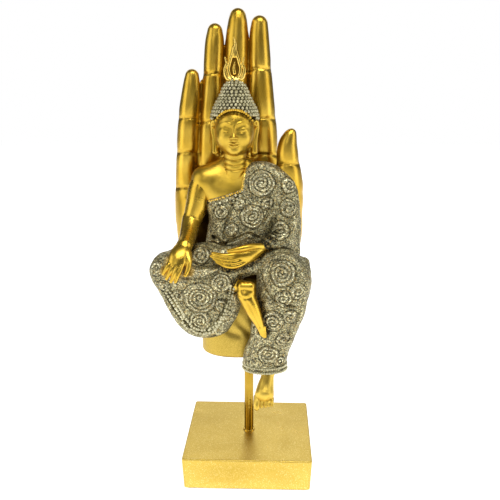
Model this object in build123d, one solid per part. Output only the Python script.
from build123d import *

import os
from math import cos, pi, sin

# A seated figure in an open hand, on a rod and a square base.
#
# Frame: millimetres, +Z up, the front faces -Y, +X is the viewer's right. The origin is the centre of the
# face that the statue stands on. Left and right in the names of limbs are the figure's own.
#
# Each cast piece is a loft through round or oval sections. A piece that is glued to another is cut by the
# pieces it is fitted round, so every peg has its own socket and no two pieces overlap.

# Driving dimensions
BASE_WIDTH = 97.0
BASE_TOP = 25.2
FELT_THICK = 1.2
FELT_INSET = 1.5
BASE_DRAFT = 1.3  # how far each side leans in from the top edge to the bottom
BASE_ROUND = 2.0

ROD_RADIUS = 3.6
ROD_TOP = 136.0
THREAD_RADIUS = 2.5
THREAD_BOTTOM = 4.0
RECESS_RADIUS = 8.5
RECESS_ROOF = 11.5
WASHER_RADIUS = 7.5
WASHER_THICK = 1.2
NUT_ACROSS_FLATS = 8.0
NUT_THICK = 4.0
RING_RADIUS = 4.7
RING_THICK = 1.0

STUMP_BOTTOM = 95.5
SECTION_POINTS = 12  # spline points round one section
END_STEPS = ((0.5, 0.866), (0.866, 0.5), (0.985, 0.17))  # offset and scale of a round end's sections
ELLIPSOID_LEVELS = (-0.999, -0.96, -0.8, -0.4, 0, 0.4, 0.8, 0.96, 0.999)  # heights over the half height


def section(centre, along, side, half_wide, half_deep):
    """An oval face across the direction along, half_wide measured along side."""
    plane = Plane(origin=centre, x_dir=side, z_dir=along)
    points = []
    for i in range(SECTION_POINTS):
        turn = 2 * pi * i / SECTION_POINTS
        points.append((half_wide * cos(turn), half_deep * sin(turn)))
    # The parameters are the same for every section, so that lofts stay smooth
    even = [i / SECTION_POINTS for i in range(SECTION_POINTS + 1)]
    outline = Edge.make_spline(points, periodic=True, parameters=even)
    return plane * Face(Wire([outline]))


def square_to(along, side):
    """The part of side that is square to along, as a unit vector."""
    return (side - along * side.dot(along)).normalized()


def limb(stations, side=(1, 0, 0), round_start=True, round_end=True, level=False):
    """A loft through stations of (x, y, z, half_wide, half_deep), with round or flat ends.

    The sections are square to the run of the stations, or all level.
    """
    centres = [Vector(*s[:3]) for s in stations]
    sizes = [s[3:] for s in stations]
    last = len(stations) - 1
    faces = []
    for i, (centre, (wide, deep)) in enumerate(zip(centres, sizes)):
        along = (centres[min(i + 1, last)] - centres[max(i - 1, 0)]).normalized()
        if level:
            along = Vector(0, 0, 1)
        across = square_to(along, Vector(*side))
        face = section(centre, along, across, wide, deep)
        ends = []
        out = -along if i == 0 else along
        for offset, scale_by in END_STEPS:
            place = centre + out * min(wide, deep) * offset
            ends.append(section(place, along, across, wide * scale_by, deep * scale_by))
        if i == 0 and round_start:
            faces += ends[::-1]
        faces.append(face)
        if i == last and round_end:
            faces += ends
    return Solid(loft(faces).wrapped)


def ellipsoid(centre, half_sizes):
    """An ellipsoid with its axes along X, Y and Z."""
    x, y, z = centre
    half_x, half_y, half_z = half_sizes
    stations = []
    for rise in ELLIPSOID_LEVELS:
        wide = (1 - rise * rise) ** 0.5
        stations.append((x, y, z + rise * half_z, wide * half_x, wide * half_y))
    return limb(stations, round_start=False, round_end=False, level=True)


def block(low, high):
    """A box between two corners."""
    size = [b - a for a, b in zip(low, high)]
    middle = [(a + b) / 2 for a, b in zip(low, high)]
    return Pos(*middle) * Box(*size)


def cylinder(radius, bottom, top, x=0.0, y=0.0):
    """An upright cylinder from bottom to top."""
    return Pos(x, y, (bottom + top) / 2) * Cylinder(radius, top - bottom)


def largest(shape):
    """The largest solid of a shape, dropping slivers that a cut may leave."""
    return max(shape.solids(), key=lambda solid: solid.volume)


def apart(one, other):
    """True if the bounding boxes of two shapes do not meet."""
    a, b = one.bounding_box(), other.bounding_box()
    return (
        a.max.X < b.min.X
        or b.max.X < a.min.X
        or a.max.Y < b.min.Y
        or b.max.Y < a.min.Y
        or a.max.Z < b.min.Z
        or b.max.Z < a.min.Z
    )


def cut_by(shape, *tools):
    """A shape fitted round other pieces."""
    for tool in tools:
        if not apart(shape, tool):
            shape = largest(shape - tool)
    return largest(shape)


# Base, rod and fasteners


def make_base_block():
    """A cast block, a little narrower at the bottom, with a bore and a recess for the nut."""
    top = Plane.XY.offset(BASE_TOP) * Rectangle(BASE_WIDTH, BASE_WIDTH)
    bottom_width = BASE_WIDTH - 2 * BASE_DRAFT
    bottom = Plane.XY.offset(FELT_THICK) * Rectangle(bottom_width, bottom_width)
    solid = loft([bottom, top])
    corners = solid.edges().filter_by(lambda edge: FELT_THICK + 1 < edge.center().Z < BASE_TOP - 1)
    solid = fillet(corners, BASE_ROUND)
    solid = fillet(solid.faces().sort_by(Axis.Z)[-1].edges(), BASE_ROUND / 2)
    solid -= cylinder(THREAD_RADIUS, 0, BASE_TOP + 1)
    return solid - cylinder(RECESS_RADIUS, 0, RECESS_ROOF)


def make_base_felt():
    """A felt sheet over the whole underside, which covers the recess."""
    width = BASE_WIDTH - 2 * BASE_DRAFT - 2 * FELT_INSET
    sheet = Pos(0, 0, FELT_THICK / 2) * Box(width, width, FELT_THICK)
    return fillet(sheet.edges().filter_by(Axis.Z), BASE_ROUND)


def make_support_rod():
    """The visible rod, with a thinner threaded end through the base. Its shoulder stands on the base."""
    upper = cylinder(ROD_RADIUS, BASE_TOP, ROD_TOP)
    upper = chamfer(upper.edges().sort_by(Axis.Z)[-1], 0.8)
    return upper + cylinder(THREAD_RADIUS, THREAD_BOTTOM, BASE_TOP)


def make_rod_washer():
    """A flat washer against the recess roof."""
    bottom = RECESS_ROOF - WASHER_THICK
    return cylinder(WASHER_RADIUS, bottom, RECESS_ROOF) - cylinder(THREAD_RADIUS, 0, BASE_TOP)


def make_rod_nut():
    """A hexagon nut under the washer."""
    top = RECESS_ROOF - WASHER_THICK
    outline = RegularPolygon(NUT_ACROSS_FLATS / 2, 6, major_radius=False)
    nut = Pos(0, 0, top - NUT_THICK) * extrude(outline, NUT_THICK)
    return nut - cylinder(THREAD_RADIUS, 0, BASE_TOP)


def make_rod_foot_ring():
    """The thin ring round the foot of the rod, on top of the base."""
    ring = cylinder(RING_RADIUS, BASE_TOP, BASE_TOP + RING_THICK)
    ring = fillet(ring.edges().sort_by(Axis.Z)[-1], RING_THICK / 2)
    return ring - cylinder(ROD_RADIUS, 0, ROD_TOP)


# The open hand. Each finger is its root, its tip, their half widths and the heights of its creases.

FINGER_ROOT_Z = 200.0
FINGER_DEPTH = 0.94  # half depth over half width
CREASE_HALF = 3.0
CREASE_PINCH = 0.93
FINGERS = {
    "little": {
        "root": (-48.4, 14.0),
        "root_half": 8.2,
        "tip": (-41.2, 8.0, 306.6),
        "tip_half": 5.6,
        "creases": (219.5, 246.5, 271.5),
    },
    "ring": {
        "root": (-32.4, 16.0),
        "root_half": 8.4,
        "tip": (-24.6, 11.5, 338.2),
        "tip_half": 6.0,
        "creases": (267.0, 303.0),
    },
    "middle": {
        "root": (-10.6, 16.5),
        "root_half": 11.0,
        "tip": (-8.3, 12.5, 349.0),
        "tip_half": 7.0,
        "creases": (268.0, 306.0),
    },
    "index": {
        "root": (11.6, 16.0),
        "root_half": 10.2,
        "tip": (7.2, 11.5, 343.6),
        "tip_half": 6.4,
        "creases": (271.5, 306.5),
    },
}


def make_finger(root, root_half, tip, tip_half, creases):
    """One finger, pinched in at each crease."""
    tip_end = tip[2] - tip_half
    heights = {FINGER_ROOT_Z: 1.0, tip_end: 1.0}
    for z in creases:
        heights[z] = CREASE_PINCH
        heights[z - CREASE_HALF] = 1.0
        heights[z + CREASE_HALF] = 1.0
    stations = []
    for z in sorted(heights):
        along = (z - FINGER_ROOT_Z) / (tip_end - FINGER_ROOT_Z)
        half = (root_half + (tip_half - root_half) * along) * heights[z]
        x = root[0] + (tip[0] - root[0]) * along
        y = root[1] + (tip[1] - root[1]) * along
        stations.append((x, y, z, half, half * FINGER_DEPTH))
    return limb(stations)


def make_open_hand():
    """Wrist stump, palm, four fingers and thumb, in one casting with a blind bore for the rod."""
    palm = limb(
        [
            (-9, -2, STUMP_BOTTOM, 27, 22),
            (-9, -2, 112, 27, 22),
            (-9, 0, 134, 29, 22),
            (-8, 5, 154, 36, 20),
            (-8, 10.5, 174, 43, 15.5),
            (-9, 13.5, 196, 46, 12.5),
            (-10, 15, 218, 43, 10.5),
            (-10, 16, 234, 34, 8),
        ],
        round_start=False,
    )
    thumb = limb(
        [
            (20, 7, 178, 12, 10),
            (27.5, 4, 196, 12, 11),
            (29, 0, 218, 11, 9.5),
            (28.8, -3, 238, 8.8, 7.6),
            (30, -5, 254, 5.6, 5.2),
            (31, -6, 261, 3.6, 3.4),
        ]
    )
    hand = palm + thumb
    for finger in FINGERS.values():
        hand += make_finger(**finger)
    return largest(hand - cylinder(ROD_RADIUS, STUMP_BOTTOM - 1, ROD_TOP))


# The figure

NECKLINE = ((2.6, 238), (-1, 224), (-30, 210.5), (-60, 206))  # X and Z
TRIM_WIDTH = 2.4
TRIM_RISE = 0.9
LEFT_HEM = 88.5
SEAT_Z = 172.0  # where the torso stands on the crossed legs
SEAT_TRIM = 4.0  # trimmed off the torso's underside, to leave it flat
LAP_TOP = 184.0
HEAD_X, HEAD_Y = -9.6, -11.0
SKULL_Z = 264.0
SKULL_HALF = (14.0, 14.0, 18.5)
HAIR_TOP = 296.4
HAIRLINE_Z = 271.0
FLAME_BOTTOM = 295.2
FLAME_PEG_RADIUS = 1.5
FLAME_OUTLINE = ((0, 0), (4.6, 2.2), (6.6, 7.5), (5.0, 13.5), (2.6, 18.5), (1.2, 23.5), (0, 28.6))


def make_head():
    """Face and skull on a neck peg, with long ears."""
    skull = ellipsoid((HEAD_X, HEAD_Y, SKULL_Z), SKULL_HALF)
    skull -= block((-40, -40, HAIRLINE_Z), (20, 20, HAIRLINE_Z + 20))
    neck = limb(
        [
            (HEAD_X, HEAD_Y + 2, 228, 7, 6.5),
            (HEAD_X, HEAD_Y + 2, 240, 7.6, 7),
            (HEAD_X, HEAD_Y + 1, 256, 8.2, 8),
        ],
        round_start=False,
        round_end=False,
    )
    nose = limb(
        [
            (HEAD_X, HEAD_Y - 12.5, 267, 1.4, 1.4),
            (HEAD_X, HEAD_Y - 14.2, 258.5, 2.4, 2.0),
        ]
    )
    head = skull + neck + nose
    for mirror in (-1, 1):
        ear = limb(
            [
                (HEAD_X + mirror * 14.0, HEAD_Y + 2, 266, 1.5, 3.4),
                (HEAD_X + mirror * 14.6, HEAD_Y + 1, 259, 1.5, 2.8),
                (HEAD_X + mirror * 14.0, HEAD_Y + 0.5, 250, 1.7, 2.6),
            ]
        )
        head += ear
    return largest(head)


def make_hair_cap():
    """The cap of curls that sits on the flat top of the skull and rises to the bun."""
    return limb(
        [
            (HEAD_X, HEAD_Y + 1, HAIRLINE_Z, 18.2, 16.2),
            (HEAD_X, HEAD_Y + 0.8, 275, 17.6, 16.4),
            (HEAD_X, HEAD_Y + 0.6, 279, 15.6, 15.4),
            (HEAD_X, HEAD_Y + 1, 284.5, 13.0, 12.6),
            (HEAD_X, HEAD_Y + 1.5, 289, 10.4, 10.2),
            (HEAD_X, HEAD_Y + 1.5, 293, 7.2, 7.0),
            (HEAD_X, HEAD_Y + 1.5, HAIR_TOP, 3.4, 3.4),
        ],
        round_start=False,
        round_end=False,
        level=True,
    )


def make_flame_finial():
    """Three leaves, one inside another, on a peg that stands in the bun."""
    flame = cylinder(FLAME_PEG_RADIUS, FLAME_BOTTOM - 5, FLAME_BOTTOM + 4, HEAD_X, HEAD_Y + 1.5)
    for scale_by, thick, lift in ((1.0, 2.4, 0), (0.74, 3.4, 1.6), (0.46, 4.4, 3.2)):
        right = [(x * scale_by, z * scale_by + lift) for x, z in FLAME_OUTLINE]
        left = [(-x, z) for x, z in right[-2:0:-1]]
        leaf = make_face(Spline(*right, *left, periodic=True))
        place = Plane(origin=(HEAD_X, HEAD_Y + 1.5, FLAME_BOTTOM), x_dir=(1, 0, 0), z_dir=(0, -1, 0))
        flame += place * extrude(leaf, thick / 2, both=True)
    return largest(flame)


def make_right_arm():
    """Bare arm from the shoulder to the hand that lies over the right knee."""
    return limb(
        [
            (-33, -6, 228, 8, 7.6),
            (-38.5, -8.5, 219, 7.2, 7.0),
            (-41.5, -10.5, 207, 6.2, 6.2),
            (-43, -13.5, 197, 5.0, 5.2),
            (-44.2, -23, 189.5, 4.6, 4.8),
            (-45, -33, 184, 3.9, 3.6),
            (-47, -41, 180.5, 6.2, 2.8),
            (-50, -47, 174, 6.4, 2.3),
            (-51.5, -49.6, 166, 5.2, 1.8),
        ]
    )


def make_left_hand():
    """Forearm stub and open hand, palm up in the lap."""
    return limb(
        [
            (19, -22, 187, 4.0, 4.0),
            (11, -29, 182.5, 4.0, 4.2),
            (2, -34, 178.8, 3.2, 6.4),
            (-9, -36, 177.4, 2.6, 7.2),
            (-19, -37, 177.6, 2.0, 5.4),
            (-25.5, -37, 178.4, 1.4, 3.0),
        ],
        side=(0, 0, 1),
    )


def make_right_foot():
    """Ankle peg out of the robe's hem, and the foot hanging from it."""
    return limb(
        [
            (-14, -38, 157.5, 4.2, 4.6),
            (-5, -40.5, 157.5, 4.2, 4.8),
            (0.5, -43.5, 153.5, 4.6, 5.0),
            (4, -43.5, 144, 3.8, 4.6),
            (8.3, -43, 134, 3.4, 4.2),
            (11.6, -42.5, 124.5, 2.0, 3.2),
        ]
    )


def make_left_foot():
    """Ankle peg out of the left leg's hem, and the foot pointing down."""
    return limb(
        [
            (15, -22, 98, 4.4, 4.8),
            (14.2, -23.5, 83, 4.6, 5.0),
            (12.6, -27, 74, 5.8, 5.0),
            (11.6, -32, 67, 6.6, 4.0),
            (11.4, -35, 62.5, 6.2, 2.8),
        ]
    )


def make_torso(*tools):
    """Chest, belly and seat."""
    torso = limb(
        [
            (-8, -8, SEAT_Z - SEAT_TRIM, 23, 15),
            (-8, -8, SEAT_Z, 23, 15),
            (-7, -8, 188, 19, 12),
            (-6.5, -7.5, 206, 20.5, 12),
            (-6, -7, 220, 25, 12),
            (-7, -6.5, 230, 26, 10),
            (-9, -7, 236, 16, 8.5),
            (-9.6, -8, 240, 9.5, 8),
        ],
        round_start=False,
        round_end=False,
        level=True,
    )
    below_seat = block((-60, -60, SEAT_Z - 2 * SEAT_TRIM), (60, 60, SEAT_Z))
    return cut_by(torso, below_seat, *tools)


def upper_robe_form(extra=0.0):
    """The robe's outer form over the left shoulder and arm, enlarged by extra."""
    stations = [
        (5, -9, LAP_TOP, 33, 15.6),
        (4.5, -9, 196, 33, 15),
        (4.5, -8, 214, 33, 14.6),
        (7, -7.5, 226, 28, 13),
        (11, -7.5, 234, 18, 10.5),
        (13, -7.5, 239, 9, 7),
        (13.5, -7.5, 241, 4, 3.5),
    ]
    grown = [(x, y, z, wide + extra, deep + extra) for x, y, z, wide, deep in stations]
    return limb(grown, round_start=False, round_end=False, level=True)


def through_cut(points):
    """A prism along Y through the whole figure, with the given outline in X and Z."""
    outline = Polyline(*points, close=True)
    return extrude(Plane.XZ.offset(-40) * make_face(outline), 80)


def make_upper_robe(*tools):
    """The robe over the left shoulder and arm and across the chest, below a slanting neckline."""
    bare_side = through_cut([*NECKLINE, (-60, 250), (2.6, 250)])
    return cut_by(upper_robe_form(), bare_side, *tools)


def make_neckline_trim(*tools):
    """The raised gold edge along the neckline's slanting part."""
    start, end = NECKLINE[1], NECKLINE[2]
    strip = [start, end, (end[0], end[1] - TRIM_WIDTH), (start[0], start[1] - TRIM_WIDTH)]
    front = block((-60, -60, 150), (60, HEAD_Y, 260))
    band = upper_robe_form(TRIM_RISE) & through_cut(strip) & front
    return cut_by(largest(band), *tools)


def seat_pocket():
    """The space above the crossed legs that the torso stands in."""
    return block((-35, -28, SEAT_Z), (19, 20, LAP_TOP + 10))


def make_right_leg_robe(*tools):
    """Lap, right thigh and knee, and the cloth that hangs from the right shin."""
    thigh = limb(
        [
            (-4, -14, 171, 13, 12),
            (-28, -20, 171, 13, 12),
            (-55, -32, 167.5, 11.5, 11.5),
        ],
        side=(0, 1, 0),
    )
    drape = limb(
        [
            (-26.5, -34, 115, 6, 4),
            (-26.5, -34, 121, 13, 6),
            (-27, -33.5, 131, 19.5, 7),
            (-30, -33, 144, 24.5, 8),
            (-33.5, -32, 156, 29.5, 8.5),
            (-34, -31, 167, 30, 9),
        ],
        level=True,
    )
    return cut_by(thigh + drape, seat_pocket(), *tools)


def left_leg_form(extra=0.0):
    """The outer form of the robe over the left thigh, knee and shin, enlarged by extra."""
    stations = [
        (6, -14, 170, 13, 12),
        (21, -25, 169, 13, 13),
        (31, -34, 160, 13, 13.5),
        (28, -35, 143, 15.5, 13.5),
        (22, -31, 122, 15.5, 13),
        (16, -27, 101, 16, 13),
        (13.5, -25, LEFT_HEM, 15.2, 12.5),
    ]
    grown = [(x, y, z, wide + extra, deep + extra) for x, y, z, wide, deep in stations]
    return limb(grown, round_end=False)


def left_leg_hollow():
    """The open space round the left ankle, inside the hem."""
    return limb(
        [
            (14.6, -25.8, 104, 9, 8),
            (13.8, -25.2, 91, 12.8, 10.2),
            (12, -23.6, 78, 13.2, 10.6),
        ],
        round_end=False,
    )


def make_left_leg_robe(*tools):
    """The robe over the left leg, hanging to an open hem round the ankle."""
    return cut_by(left_leg_form() - left_leg_hollow(), seat_pocket(), *tools)


def make_left_hem_band(*tools):
    """The braided band round the left hem."""
    band = left_leg_form(TRIM_RISE) & block((-60, -60, LEFT_HEM), (60, 0, LEFT_HEM + 2 * TRIM_WIDTH))
    return cut_by(largest(band - left_leg_hollow()), *tools)


def main():
    """Make every piece, each fitted round the ones before it, and write one STEP for each."""
    open_hand = make_open_hand()
    rod = make_support_rod()
    head = cut_by(make_head(), open_hand)
    right_arm = cut_by(make_right_arm(), open_hand)
    left_hand = make_left_hand()
    right_foot = cut_by(make_right_foot(), open_hand)
    left_foot = make_left_foot()
    flame = make_flame_finial()
    hair_cap = cut_by(make_hair_cap(), open_hand, flame)
    torso = make_torso(open_hand, head, right_arm, left_hand, right_foot)
    upper_robe = make_upper_robe(open_hand, head, right_arm, left_hand, torso)
    limbs = (open_hand, right_arm, left_hand, right_foot, left_foot)
    left_leg_robe = make_left_leg_robe(*limbs)
    right_leg_robe = make_right_leg_robe(*limbs, left_leg_robe)
    neckline_trim = make_neckline_trim(open_hand, torso, head, upper_robe)
    left_hem_band = make_left_hem_band(left_leg_robe)
    nodes = {
        "base_felt": make_base_felt(),
        "base_block": make_base_block(),
        "support_rod": rod,
        "rod_washer": make_rod_washer(),
        "rod_nut": make_rod_nut(),
        "rod_foot_ring": make_rod_foot_ring(),
        "open_hand": open_hand,
        "torso": torso,
        "head": head,
        "hair_cap": hair_cap,
        "flame_finial": flame,
        "right_arm": right_arm,
        "left_hand": left_hand,
        "right_foot": right_foot,
        "left_foot": left_foot,
        "upper_robe": upper_robe,
        "right_leg_robe": right_leg_robe,
        "left_leg_robe": left_leg_robe,
        "neckline_trim": neckline_trim,
        "left_hem_band": left_hem_band,
    }
    os.makedirs("parts", exist_ok=True)
    for name, shape in nodes.items():
        export_step(shape, f"parts/{name}.step")


main()
